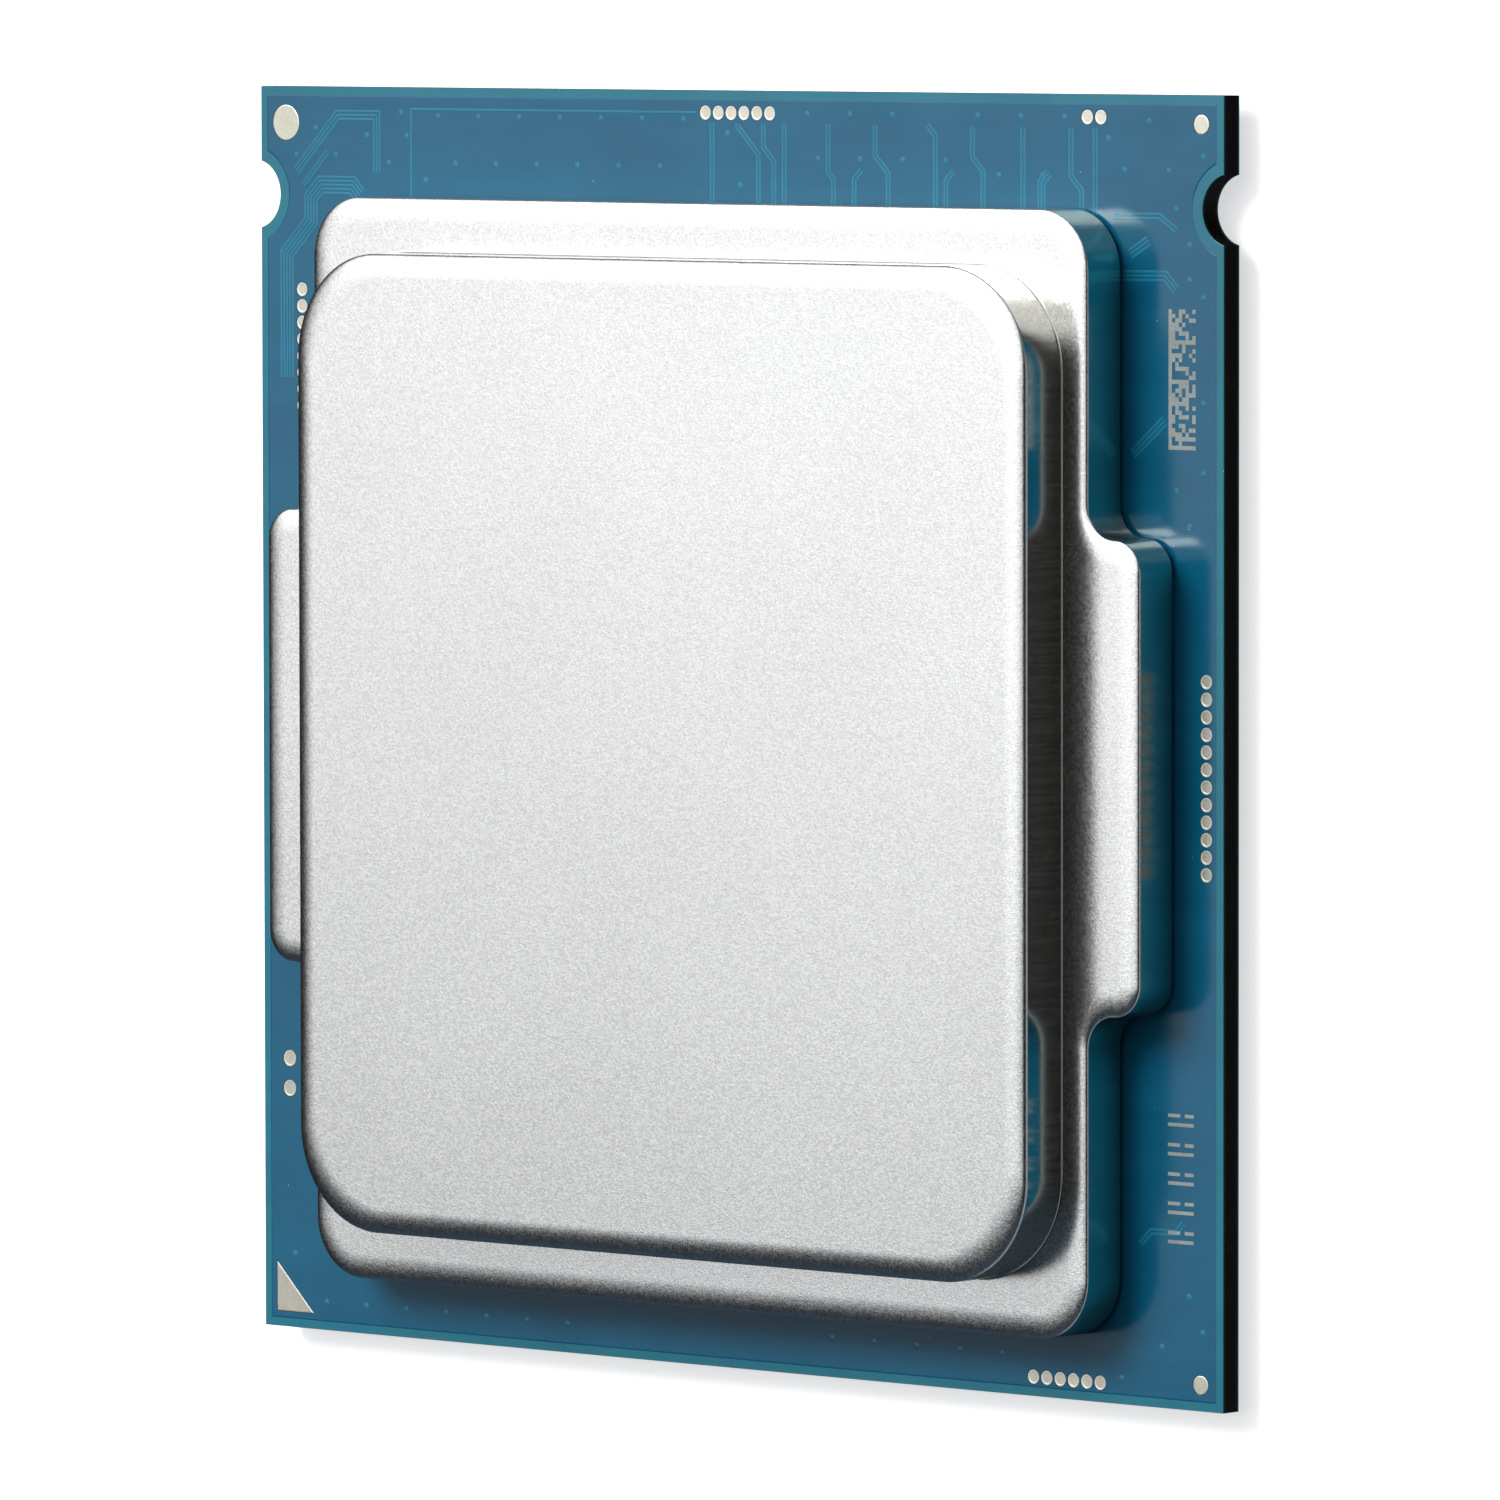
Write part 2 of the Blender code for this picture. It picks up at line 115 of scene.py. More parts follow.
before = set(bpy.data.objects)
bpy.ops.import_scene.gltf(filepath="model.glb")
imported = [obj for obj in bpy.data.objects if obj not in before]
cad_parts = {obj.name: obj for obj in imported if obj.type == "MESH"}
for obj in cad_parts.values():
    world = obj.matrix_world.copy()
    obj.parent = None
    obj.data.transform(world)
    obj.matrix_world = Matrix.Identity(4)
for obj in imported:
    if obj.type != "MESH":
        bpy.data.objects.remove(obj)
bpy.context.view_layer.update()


# ---------------------------------------------------------------- node helpers


class Nodes:
    """A node tree, built a node at a time."""

    def __init__(self, tree):
        self.tree = tree

    def node(self, kind, **inputs):
        """Add a node. An input's name has _ where the socket's has a space."""
        made = self.tree.nodes.new(kind)
        for key, value in inputs.items():
            self.plug(made.inputs[key.replace("_", " ")], value)
        return made

    def plug(self, socket, value):
        if isinstance(value, bpy.types.NodeSocket):
            self.tree.links.new(value, socket)
        elif isinstance(value, (tuple, list)) and len(value) == 3 and socket.type == "RGBA":
            socket.default_value = (*value, 1.0)
        else:
            socket.default_value = value

    def math(self, operation, first, second=0.0, third=0.0, clamp=False):
        made = self.tree.nodes.new("ShaderNodeMath")
        made.operation = operation
        made.use_clamp = clamp
        for socket, value in zip(made.inputs, (first, second, third)):
            self.plug(socket, value)
        return made.outputs[0]

    def math_vector(self, operation, first, second):
        made = self.tree.nodes.new("ShaderNodeVectorMath")
        made.operation = operation
        self.plug(made.inputs[0], first)
        self.plug(made.inputs[1], second)
        return made.outputs[0]

    def band(self, value, low, high, to_low=0.0, to_high=1.0):
        """Map value from low..high to to_low..to_high, smoothly and clamped."""
        made = self.node("ShaderNodeMapRange", Value=value)
        made.interpolation_type = "SMOOTHSTEP"
        made.inputs["From Min"].default_value = low
        made.inputs["From Max"].default_value = high
        made.inputs["To Min"].default_value = to_low
        made.inputs["To Max"].default_value = to_high
        return made.outputs["Result"]

    def mix(self, factor, first, second):
        """Blend of two colours: the first at factor 0 and the second at 1."""
        made = self.tree.nodes.new("ShaderNodeMix")
        made.data_type = "RGBA"
        self.plug(made.inputs["Factor"], factor)
        self.plug(made.inputs[6], first)
        self.plug(made.inputs[7], second)
        return made.outputs[2]


class Finish(Nodes):
    """A material, whose patterns have their sizes in millimetres."""

    def __init__(self, name):
        self.material = bpy.data.materials.new(name)
        self.material.use_nodes = True
        super().__init__(self.material.node_tree)
        self.shader = self.tree.nodes["Principled BSDF"]
        place = self.tree.nodes.new("ShaderNodeTexCoord")
        self.mm = self.math_vector("MULTIPLY", place.outputs["Object"], (1 / MM,) * 3)

    def noise(self, size, detail=2.0, stretch=None, roughness=0.5):
        """Noise with features about size mm across, between 0 and 1."""
        where = self.mm
        if stretch:
            where = self.math_vector("MULTIPLY", where, stretch)
        made = self.node(
            "ShaderNodeTexNoise",
            Vector=where,
            Scale=1.0 / size,
            Detail=detail,
            Roughness=roughness,
        )
        return made.outputs["Fac"]

    def cells(self, size, output="Distance"):
        """Irregular cells about size mm across."""
        made = self.node("ShaderNodeTexVoronoi", Vector=self.mm, Scale=1.0 / size)
        return made.outputs[output]

    def bump(self, height, distance, strength=1.0):
        """Bump from a 0..1 height that stands distance mm high."""
        made = self.node(
            "ShaderNodeBump", Height=height, Distance=distance * MM, Strength=strength
        )
        return made.outputs["Normal"]

    def set(self, **inputs):
        """Set or link sockets of the surface shader."""
        for key, value in inputs.items():
            self.plug(self.shader.inputs[key.replace("_", " ")], value)


# ------------------------------------------------------------------- finishes


GRAIN_SIZE = 0.062
GRAIN_SHARE = 0.85
CLOUD_SHARE = 0.3
DARK_CUT = 0.08


def blasted_nickel():
    """Bead-blasted nickel plate: fine grain, each cell of its own brightness."""
    f = Finish("blasted_nickel")
    fine = f.noise(0.045, 2.0, roughness=0.6)
    draws = f.node("ShaderNodeSeparateColor", Color=f.cells(GRAIN_SIZE, "Color"))
    facets = draws.outputs["Red"]
    cloud = f.noise(6.0, 2.0)
    tone = f.math("MULTIPLY_ADD", cloud, CLOUD_SHARE, f.math("MULTIPLY", facets, GRAIN_SHARE))
    tone = f.math("SUBTRACT", tone, DARK_CUT, clamp=True)
    colour = f.mix(tone, (0.72, 0.715, 0.71), (0.97, 0.965, 0.96))
    f.set(
        Base_Color=colour,
        Metallic=1.0,
        Roughness=f.band(facets, 0.0, 1.0, 0.21, 0.25),
        Normal=f.bump(fine, 0.0025),
    )
    return f.material


def drawn_nickel():
    """Smooth nickel of the pressed side walls, with faint upright draw marks."""
    f = Finish("drawn_nickel")
    marks = f.noise(0.12, 3.0, stretch=(1.0, 1.0, 0.06))
    wide = f.noise(1.8, 2.0)
    colour = f.mix(wide, (0.62, 0.62, 0.56), (0.72, 0.72, 0.655))
    f.set(
        Base_Color=colour,
        Metallic=1.0,
        Roughness=f.band(marks, 0.3, 0.7, 0.11, 0.16),
        Normal=f.bump(marks, 0.0010, 0.5),
    )
    return f.material


def sheared_nickel_painted_teal():
    """Duller nickel of the flange's cut edge. Its green cast is a painted reflection of the teal
    solder mask, laid over the nickel's own pale tint.
    """
    f = Finish("sheared_nickel_painted_teal")
    marks = f.noise(0.20, 2.0, stretch=(1.0, 1.0, 0.1))
    wide = f.noise(1.8, 2.0)
    f.set(
        # Base colour: the nickel's own tint plus a painted green cast that stands in for the
        # reflected teal mask.
        Base_Color=f.mix(wide, (0.58, 0.64, 0.56), (0.68, 0.74, 0.65)),
        Metallic=1.0,
        Roughness=f.band(marks, 0.3, 0.7, 0.19, 0.23),
        Normal=f.bump(marks, 0.0006, 0.5),
    )
    return f.material


def mask_finish(name, dark, light, roughness):
    """Glossy solder mask with soft cloudy depth and a few pale specks."""
    f = Finish(name)
    cloud = f.noise(3.5, 3.0)
    streak = f.noise(1.2, 2.0, stretch=(0.25, 1.6, 1.0))
    blend = f.math("ADD", f.math("MULTIPLY", cloud, 0.65), f.math("MULTIPLY", streak, 0.35))
    base = f.mix(f.band(blend, 0.32, 0.68), dark, light)
    speck = f.math("LESS_THAN", f.cells(0.55), 0.028)
    rare = f.math("GREATER_THAN", f.noise(1.3), 0.62)
    colour = f.mix(f.math("MULTIPLY", speck, rare), base, (0.42, 0.60, 0.66))
    f.set(
        Base_Color=colour,
        Roughness=f.band(cloud, 0.3, 0.7, roughness * 0.9, roughness * 1.15),
        IOR=1.44,
        Normal=f.bump(f.noise(0.45, 2.0), 0.0006, 0.7),
    )
    return f.material


def plated_gold(name, dark, light, roughness):
    """Pale gold plate with micro pits and faint clouding."""
    f = Finish(name)
    pits = f.noise(0.05, 3.0, roughness=0.7)
    wide = f.noise(0.5, 2.0)
    blend = f.math("ADD", f.math("MULTIPLY", pits, 0.6), f.math("MULTIPLY", wide, 0.4))
    f.set(
        Base_Color=f.mix(f.band(blend, 0.35, 0.65), dark, light),
        Metallic=1.0,
        Roughness=f.band(pits, 0.3, 0.7, roughness - 0.06, roughness + 0.08),
        Normal=f.bump(pits, 0.002, 0.8),
    )
    return f.material


def layered_resin(name, dark, light, fibre):
    """Cut edge of laminate: resin with lighter fibre ends drawn along the edge."""
    f = Finish(name)
    threads = f.noise(0.09, 3.0, stretch=(0.35, 0.35, 2.2), roughness=0.7)
    clump = f.noise(0.8, 2.0)
    base = f.mix(f.band(threads, 0.35, 0.7), dark, light)
    tint = f.math("MULTIPLY", f.band(clump, 0.52, 0.75), f.band(threads, 0.5, 0.75))
    f.set(
        Base_Color=f.mix(tint, base, fibre),
        Roughness=f.band(threads, 0.3, 0.7, 0.42, 0.62),
        Normal=f.bump(threads, 0.01, 0.8),
    )
    f.shader.inputs["Specular IOR Level"].default_value = 0.25
    return f.material


def speckled(name, dark, light, size, roughness, metallic=0.0, bump=0.002):
    """A plain surface with fine speckle and slow variation."""
    f = Finish(name)
    fine = f.noise(size, 3.0, roughness=0.65)
    wide = f.noise(size * 14, 2.0)
    blend = f.math("ADD", f.math("MULTIPLY", fine, 0.6), f.math("MULTIPLY", wide, 0.4))
    f.set(
        Base_Color=f.mix(f.band(blend, 0.34, 0.66), dark, light),
        Metallic=metallic,
        Roughness=f.band(fine, 0.3, 0.7, roughness - 0.07, roughness + 0.07),
        Normal=f.bump(fine, bump, 0.8),
    )
    return f.material


# ------------------------------------------------------------- outline helpers


def arc(centre_x, centre_y, radius, start, end, steps):
    """Points on an arc, with both ends, from start to end in degrees."""
    points = []
    for step in range(steps + 1):
        angle = math.radians(start + (end - start) * step / steps)
        points.append((centre_x + radius * math.cos(angle), centre_y + radius * math.sin(angle)))
    return points


def circle(centre, radius, sides):
    """Points of a regular polygon round a centre."""
    return arc(centre[0], centre[1], radius, 0, 360 * (sides - 1) / sides, sides - 1)


def four_quarters(quarter, centre_x, centre_y):
    """Mirror the points of the first quarter into a whole outline."""
    backwards = quarter[::-1]
    whole = list(quarter)
    whole += [(-x, y) for x, y in backwards]
    whole += [(-x, -y) for x, y in quarter]
    whole += [(x, -y) for x, y in backwards]
    return [(x + centre_x, y + centre_y) for x, y in whole]


def rounded_rectangle(half_x, half_y, corner, centre=(0.0, 0.0), steps=LID_CORNER_STEPS):
    """Outline of a rectangle with round corners."""
    quarter = arc(half_x - corner, half_y - corner, corner, 0, 90, steps)
    return four_quarters(quarter, *centre)


def board_outline(inset=0.0, ring=0.0):
    """Outline of the substrate, with half-round key notches on both sides."""
    half = BOARD_HALF - inset
    centre_x = BOARD_HALF + NOTCH_CENTRE_OUTSIDE
    radius = NOTCH_RADIUS + ring
    half_angle = math.degrees(math.acos((centre_x - half) / radius))
    right = arc(centre_x, NOTCH_Y, radius, 180 + half_angle, 180 - half_angle, NOTCH_STEPS)
    left = [(-x, y) for x, y in reversed(right)]
    return [(-half, -half), (half, -half), *right, (half, half), (-half, half), *left]


def flange_outline(inset=0.0):
    """Outline of the lid's flange, with a wing on each side."""
    inner_x = WING_HALF_X - WING_CORNER
    inner_y = WING_HALF_Y - WING_CORNER
    quarter = arc(inner_x, inner_y, WING_CORNER - inset, 0, 90, LID_CORNER_STEPS)
    quarter += arc(
        FLANGE_HALF_X + WING_CORNER,
        WING_HALF_Y + WING_CORNER,
        WING_CORNER + inset,
        270,
        180,
        LID_CORNER_STEPS,
    )
    corner_x = FLANGE_HALF_X - FLANGE_CORNER
    corner_y = FLANGE_HALF_Y - FLANGE_CORNER
    quarter += arc(corner_x, corner_y, FLANGE_CORNER - inset, 0, 90, LID_CORNER_STEPS)
    return four_quarters(quarter, 0.0, LID_CENTRE_Y)


def plateau_outline(inset=0.0):
    """Outline of the lid's raised middle. A negative inset is wider."""
    return rounded_rectangle(
        PLATEAU_HALF_X - inset,
        PLATEAU_HALF_Y - inset,
        PLATEAU_CORNER - PLATEAU_CORNER_CUT * inset,
        (0.0, LID_CENTRE_Y),
    )


# ---------------------------------------------------------------- mesh helpers


def add_loop(bm, outline, height):
    """Add a closed ring of edges at one height and return its vertices."""
    vertices = [bm.verts.new((x, y, height)) for x, y in outline]
    for first, second in zip(vertices, vertices[1:] + vertices[:1]):
        bm.edges.new((first, second))
    return vertices


def add_wall(bm, lower, upper, surface=0):
    """Join two rings that have the same number of vertices."""
    count = len(lower)
    for index in range(count):
        following = (index + 1) % count
        face = bm.faces.new((lower[index], lower[following], upper[following], upper[index]))
        face.material_index = surface


def add_flat(bm, loops, surface=0):
    """Fill the flat area inside the first ring and outside the others."""
    edges = []
    for loop in loops:
        for first, second in zip(loop, loop[1:] + loop[:1]):
            edges.append(bm.edges.get((first, second)))
    made = bmesh.ops.triangle_fill(bm, edges=edges, use_beauty=True)
    for item in made["geom"]:
        if isinstance(item, bmesh.types.BMFace):
            item.material_index = surface


def add_profile(bm, outline_at, profile, surfaces):
    """Stack rings from a profile of (inset, height) and return the first and last."""
    rings = [add_loop(bm, outline_at(inset), height) for inset, height in profile]
    for index, (below, above) in enumerate(zip(rings, rings[1:])):
        add_wall(bm, below, above, surfaces[index])
    return rings[0], rings[-1]


def to_piece(bm, name, materials, replaces=(), smooth_angle=None):
    """Turn a mesh in millimetres into a piece that rides with the package."""
    bmesh.ops.recalc_face_normals(bm, faces=bm.faces[:])
    bm.transform(Matrix.Scale(MM, 4))
    mesh = bpy.data.meshes.new(name)
    bm.to_mesh(mesh)
    bm.free()
    for surface in materials:
        mesh.materials.append(surface)
    if smooth_angle is not None:
        mesh.shade_smooth()
        mesh.set_sharp_from_angle(angle=math.radians(smooth_angle))
    piece = bpy.data.objects.new(name, mesh)
    bpy.context.scene.collection.objects.link(piece)
    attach(piece, ROOT)
    if replaces:
        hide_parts(*replaces)
    return piece


def box_mm(node):
    """Lowest and highest corner of a CAD node in millimetres."""
    low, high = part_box(node)
    return low / MM, high / MM


# ------------------------------------------------------------------------ lid


def edge_round(top, drop):
    """Inset and height of each ring round a rounded top edge, from the wall up."""
    profile = []
    for step in range(ROUND_STEPS + 1):
        angle = math.pi / 2 * step / ROUND_STEPS
        inset = EDGE_ROUND_WIDTH * (1 - math.cos(angle))
        fall = 1 - math.sin(angle)
        profile.append((inset, top - drop * fall - EDGE_LIP * fall**3))
    return profile


def build_lid(board_top, grain, wall, cut):
    """The pressed lid: blasted tops, a drawn wall up to the plateau and a cut edge."""
    bm = bmesh.new()
    base = board_top + FLANGE_BOTTOM
    shoulder = board_top + FLANGE_TOP
    crest = board_top + LID_TOP
    profile = [(FOOT_ROUND, base), (0.0, base + FOOT_ROUND)]
    profile.append((0.0, shoulder - FLANGE_ROUND_DROP - EDGE_LIP - SETTLE))
    surfaces = [CUT] * len(profile)
    profile += edge_round(shoulder, FLANGE_ROUND_DROP)
    profile.append((EDGE_ROUND_WIDTH + SETTLE, shoulder))
    surfaces += [BLASTED] * len(profile)
    foot, rim = add_profile(bm, flange_outline, profile, surfaces)

    profile = [(-BASE_FILLET - SETTLE, shoulder)]
    for step in range(FILLET_STEPS + 1):
        angle = math.pi / 2 * step / FILLET_STEPS
        inset = -BASE_FILLET * (1 - math.sin(angle))
        profile.append((inset, shoulder + BASE_FILLET * (1 - math.cos(angle))))
    profile.append((0.0, shoulder + BASE_FILLET + SETTLE))
    profile.append((0.0, crest - PLATEAU_ROUND_DROP - EDGE_LIP - SETTLE))
    surfaces = [BLASTED] + [DRAWN] * (len(profile) - 1)
    profile += edge_round(crest, PLATEAU_ROUND_DROP)
    profile.append((EDGE_ROUND_WIDTH + SETTLE, crest))
    surfaces += [BLASTED] * len(profile)
    toe, crown = add_profile(bm, plateau_outline, profile, surfaces)
    add_flat(bm, [rim, toe], BLASTED)
    add_flat(bm, [crown], BLASTED)

    cavity = rounded_rectangle(CAVITY_HALF_X, CAVITY_HALF_Y, CAVITY_CORNER, (0.0, LID_CENTRE_Y))
    mouth = add_loop(bm, cavity, base)
    ceiling = add_loop(bm, cavity, board_top + CAVITY_CEILING)
    add_flat(bm, [foot, mouth], DRAWN)
    add_wall(bm, mouth, ceiling, DRAWN)
    add_flat(bm, [ceiling], DRAWN)
    to_piece(
        bm,
        "lid_finished",
        [grain, wall, cut],
        ["heat_spreader"],
        smooth_angle=40,
    )


# ------------------------------------------------------------ solder mask


def pad_centres(node, radius, pitch):
    """Centres of the pads in a row, from the box of the row's CAD node."""
    low, high = box_mm(node)
    reach = radius + PAD_STRIP_MARGIN
    start = Vector((low.x + reach, high.y - reach))
    end = Vector((high.x - reach, low.y + reach))
    count = round((end - start).length / pitch) + 1
    return [tuple(start.lerp(end, index / (count - 1))) for index in range(count)]


def triangle_mark(spread):
    """Outline of the pin 1 triangle, wider by the spread on every side."""
    low, high = box_mm("pin_1_marker")
    leg = high.x - low.x + spread * (2 + math.sqrt(2))
    corner = (low.x - spread, low.y - spread)
    return [corner, (corner[0] + leg, corner[1]), (corner[0], corner[1] + leg)]


def build_top_mask(openings, over_copper, over_resin):
    """The upper solder mask, lower and paler past the edge of the copper."""
    low, high = box_mm("top_solder_mask")
    top = high.z
    edge = top - BORDER_DROP
    bm = bmesh.new()
    profile = [
        (0.0, 0.0, low.z),
        (0.0, 0.0, edge - MASK_EDGE_ROUND),
        (MASK_EDGE_ROUND / 3, MASK_EDGE_ROUND / 3, edge - MASK_EDGE_ROUND / 3),
        (MASK_EDGE_ROUND, MASK_EDGE_ROUND, edge),
        (COPPER_INSET - BORDER_SLOPE, NOTCH_RING - BORDER_SLOPE, edge),
        (COPPER_INSET, NOTCH_RING, top),
        (COPPER_INSET + BORDER_SLOPE, NOTCH_RING + BORDER_SLOPE, top),
    ]
    rings = [add_loop(bm, board_outline(inset, ring), z) for inset, ring, z in profile]
    for index, (below, above) in enumerate(zip(rings, rings[1:])):
        add_wall(bm, below, above, 1 if index < BORDER_BANDS else 0)
    mouths = [add_loop(bm, outline, top) for outline in openings]
    floors = [add_loop(bm, outline, low.z) for outline in openings]
    add_flat(bm, [rings[-1], *mouths], 0)
    add_flat(bm, [rings[0], *floors], 1)
    for mouth, floor in zip(mouths, floors):
        add_wall(bm, floor, mouth, 0)
    to_piece(bm, "upper_mask", [over_copper, over_resin], ["top_solder_mask"])


# ---------------------------------------------------------------- gold marks


MARK_EDGE = 0.004
PAD_RIM_RISE = 0.001
PAD_RIM_SLOPE = 0.014
PAD_DISH = 0.002
FIDUCIAL_BEVEL = 0.02
TRIANGLE_BEVEL = 0.03


def add_mark(bm, outline_at, profile):
    """A plated mark from the rings of its side. Slot 0 is the top face, 1 the rest."""
    rings = [add_loop(bm, outline_at(reach), z) for reach, z in profile]
    add_flat(bm, [rings[0]], 1)
    for below, above in zip(rings, rings[1:]):
        add_wall(bm, below, above, 1)
    add_flat(bm, [rings[-1]], 0)


def add_round_pad(bm, centre, radius, low, top):
    """A round pad with a paler raised rim round its middle."""
    inner = radius - PAD_RIM
    profile = [
        (radius, low),
        (radius, top - MARK_EDGE),
        (radius - MARK_EDGE, top + PAD_RIM_RISE),
        (inner + PAD_RIM_SLOPE, top + PAD_RIM_RISE),
        (inner, top - PAD_DISH),
    ]
    add_mark(bm, lambda reach: circle(centre, reach, PAD_SIDES), profile)


def build_pads(rows, middle, rim):
    """Rows of test pads, each row one piece."""
    for node, centres, radius in rows:
        low, high = box_mm(node)
        bm = bmesh.new()
        for centre in centres:
            add_round_pad(bm, centre, radius, low.z, high.z)
        to_piece(bm, node + "_plated", [middle, rim], [node])


def fiducial_circle(node):
    """Centre and radius of a round alignment mark."""
    low, high = box_mm(node)
    centre = ((low.x + high.x) / 2, (low.y + high.y) / 2)
    return centre, (high.x - low.x) / 2


def build_fiducials(middle, rim):
    """The round alignment marks, each one piece."""
    for node in FIDUCIALS:
        low, high = box_mm(node)
        centre, radius = fiducial_circle(node)
        profile = [
            (radius, low.z),
            (radius, high.z - MARK_EDGE),
            (radius - FIDUCIAL_BEVEL, high.z),
        ]
        bm = bmesh.new()
        add_mark(bm, lambda reach: circle(centre, reach, FIDUCIAL_SIDES), profile)
        to_piece(bm, node + "_plated", [middle, rim], [node])


def build_triangle(middle, rim):
    """The triangle that marks pin 1."""
    low, high = box_mm("pin_1_marker")
    profile = [(0.0, low.z), (0.0, high.z - MARK_EDGE), (-TRIANGLE_BEVEL, high.z)]
    bm = bmesh.new()
    add_mark(bm, triangle_mark, profile)
    to_piece(bm, "pin_1_marker_plated", [middle, rim], ["pin_1_marker"])


# ------------------------------------------------------- traces under the mask


TRACE_WIDTH = 0.09
TRACE_HEIGHT = 0.003

TRACE_SPACING = 0.12
TRACE_SHOULDER = 0.24
TRACE_SINK = 0.001
MITRE_FLOOR = 0.6
LID_EDGE_Y = 15.3
TOP_START_Y = 17.8
SPUR_START_Y = 16.5

# Bundles that run in under the lid with one slanting step:
# X at the start, Y at the start, Y of the step, X under the lid, lines.
STEPPED_TRACES = (
    (-0.6, TOP_START_Y, 17.0, -0.6, 2),
    (0.4, TOP_START_Y, 17.7, 1.2, 2),
    (1.4, TOP_START_Y, 17.1, 1.8, 2),
    (2.2, TOP_START_Y, 17.0, 2.2, 2),
    (3.9, TOP_START_Y, 16.4, 4.1, 2),
    (5.7, TOP_START_Y, 16.9, 6.2, 2),
    (5.2, SPUR_START_Y, SPUR_START_Y, 4.9, 2),
    (7.7, TOP_START_Y, 17.8, 8.0, 2),
    (8.7, SPUR_START_Y, SPUR_START_Y, 8.4, 2),
    (9.4, TOP_START_Y, 16.9, 9.8, 2),
    (11.3, TOP_START_Y, 17.0, 11.3, 2),
    (12.3, SPUR_START_Y, SPUR_START_Y, 12.0, 3),
    (13.1, TOP_START_Y, 16.4, 13.5, 2),
    (14.0, TOP_START_Y, 17.0, 14.0, 2),
)

# Other bundles: turning points of the middle line, and the number of lines.
FREE_TRACES = (
    (((-12.6, 15.0), (-12.6, 18.1), (-1.2, 18.1)), 1),
    (((-17.3, 16.2), (-15.6, 17.9), (-14.0, 17.9), (-14.0, 16.2)), 3),
    (((-17.0, 15.8), (-16.0, 16.8)), 2),
    (
        (
            (-14.7, 15.5),
            (-15.0, 15.8),
            (-16.3, 15.8),
            (-16.7, 15.4),
            (-16.7, 14.7),
            (-17.7, 13.7),
            (-17.7, 10.0),
        ),
        5,
    ),
    (((14.7, 15.3), (16.4, 15.3), (17.0, 14.9)), 2),
    (((15.0, 13.6), (16.6, 13.6), (17.0, 13.2)), 3),
    (((15.4, 8.5), (16.6, 9.5)), 3),
    (((15.3, 14.2), (16.0, 14.6)), 3),
    (((15.7, -14.1), (16.1, -13.7), (17.0, -13.7), (17.3, -13.4)), 2),
    (((16.8, 3.0), (16.8, 5.0)), 2),
)

# Small bumps over filled vias. Each row is X and Y of its first via and its count.
VIA_PITCH = 1.63
VIA_ROWS = (
    (-11.5, 17.9, 7),
    (-10.8, 16.5, 6),
    (-14.4, 17.3, 2),
    (-17.3, 16.7, 2),
    (3.1, 18.1, 3),
    (9.6, 18.1, 3),
    (3.5, 16.8, 4),
    (10.4, 16.4, 2),
    (15.1, 16.6, 2),
    (-16.2, -17.9, 7),
    (4.0, -17.6, 5),
)

# Vias outside the rows, on a half-millimetre grid.
LONE_VIAS = (
    (-16.5, 17.5),
    (-13.0, 18.0),
    (-13.5, 16.5),
    (-12.0, 16.0),
    (0.0, 17.5),
    (0.5, 16.0),
    (14.5, 17.5),
    (16.0, 18.0),
    (18.0, 17.0),
    (17.0, 15.5),
    (17.5, 14.5),
    (17.5, 13.5),
    (18.0, 13.0),
    (18.0, 10.0),
    (18.0, 8.0),
    (17.0, 7.5),
    (17.5, 6.5),
    (-17.5, -16.5),
    (15.0, -18.0),
    (16.5, -17.0),
    (17.5, -15.5),
    (18.0, -16.5),
)
VIA_RADIUS = 0.11
VIA_HEIGHT = 0.006
VIA_SIDES = 16
VIA_SINK = 0.002
VIA_RINGS = (1.0, 0.8, 0.45)


def offset_path(points, shift):
    """The path moved sideways by shift, with mitred corners."""
    moved = []
    for index, point in enumerate(points):
        here = Vector(point)
        before = Vector(points[max(index - 1, 0)])
        after = Vector(points[min(index + 1, len(points) - 1)])
        incoming = (here - before).normalized() if index else (after - here).normalized()
        outgoing = (after - here).normalized() if index < len(points) - 1 else incoming
        normal_in = Vector((-incoming.y, incoming.x))
        normal_out = Vector((-outgoing.y, outgoing.x))
        mitre = normal_in + normal_out
        scale = 2.0 / max(mitre.length_squared, MITRE_FLOOR)
        moved.append(here + mitre * shift * scale)
    return moved


def add_ridge(bm, points, base, width, height):
    """A low ridge with sloping sides along a path."""
    across = (
        (-0.5, -TRACE_SINK),
        (-TRACE_SHOULDER, height),
        (TRACE_SHOULDER, height),
        (0.5, -TRACE_SINK),
    )
    sections = []
    for shift, z in across:
        line = offset_path(points, shift * width)
        sections.append([bm.verts.new((p.x, p.y, base + z)) for p in line])
    count = len(points)
    for first, second in zip(sections, sections[1:] + sections[:1]):
        for index in range(count - 1):
            bm.faces.new((first[index], first[index + 1], second[index + 1], second[index]))
    for end in (0, count - 1):
        bm.faces.new([line[end] for line in sections])


def add_dome(bm, centre, radius, base, height):
    """A low round bump, highest in its middle."""
    rings = []
    for share in VIA_RINGS:
        z = base - VIA_SINK + (height + VIA_SINK) * (1 - share * share)
        rings.append(add_loop(bm, circle(centre, radius * share, VIA_SIDES), z))
    for below, above in zip(rings, rings[1:]):
        add_wall(bm, below, above)
    add_flat(bm, [rings[0]])
    add_flat(bm, [rings[-1]])


def stepped_path(start_x, start_y, step_y, end_x):
    """Turning points of a bundle that runs in under the lid, without repeats."""
    points = [(start_x, start_y), (start_x, step_y)]
    points += [(end_x, step_y - abs(end_x - start_x)), (end_x, LID_EDGE_Y)]
    return list(dict.fromkeys(points))


